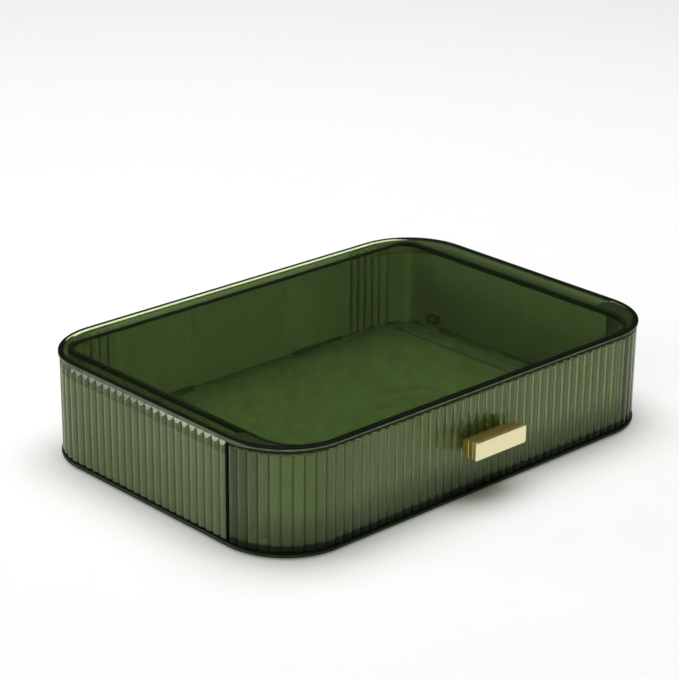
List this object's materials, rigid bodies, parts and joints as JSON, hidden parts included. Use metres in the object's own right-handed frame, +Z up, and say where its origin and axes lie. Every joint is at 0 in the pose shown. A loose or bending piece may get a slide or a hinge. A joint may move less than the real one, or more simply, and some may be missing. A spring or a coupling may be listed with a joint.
{
  "type": "makeup organizer with drawer",
  "caption": "Low desktop organizer of clear tinted plastic with reeded walls, round corners and one wide pull-out drawer with a small metal bar handle.",
  "frame": {"origin": "middle of the whole object's box in X and Y, handle included, on the surface that the feet stand on", "axes": "+Z up, +X along the drawer front to the right as seen from the front, the drawer opens towards -Y"},
  "size_m": [0.3, 0.2212, 0.063],
  "materials": {
    "case_plastic": "clear, tinted olive green, polished",
    "drawer_plastic": "clear, tinted olive green, polished",
    "handle_metal": "plated, polished, light gold",
    "screw_steel": "nickel plated",
    "foot_silicone": "clear milky silicone, satin"
  },
  "bodies": {
    "case": {"top_plate": "case_plastic", "case_wall": "case_plastic", "base_plate": "case_plastic", "foot_front_left": "foot_silicone", "foot_front_right": "foot_silicone", "foot_rear_left": "foot_silicone", "foot_rear_right": "foot_silicone"},
    "drawer": {"drawer_tray": "drawer_plastic", "drawer_front": "drawer_plastic", "handle_base": "handle_metal", "handle_bar": "handle_metal", "handle_screw_left": "screw_steel", "handle_screw_right": "screw_steel", "handle_washer_left": "screw_steel", "handle_washer_right": "screw_steel"}
  },
  "joints": [
    {"name": "drawer_slide", "type": "slide", "parent": "case", "child": "drawer", "axis": [0, -1, 0], "range_m": [0, 0.124]}
  ]
}
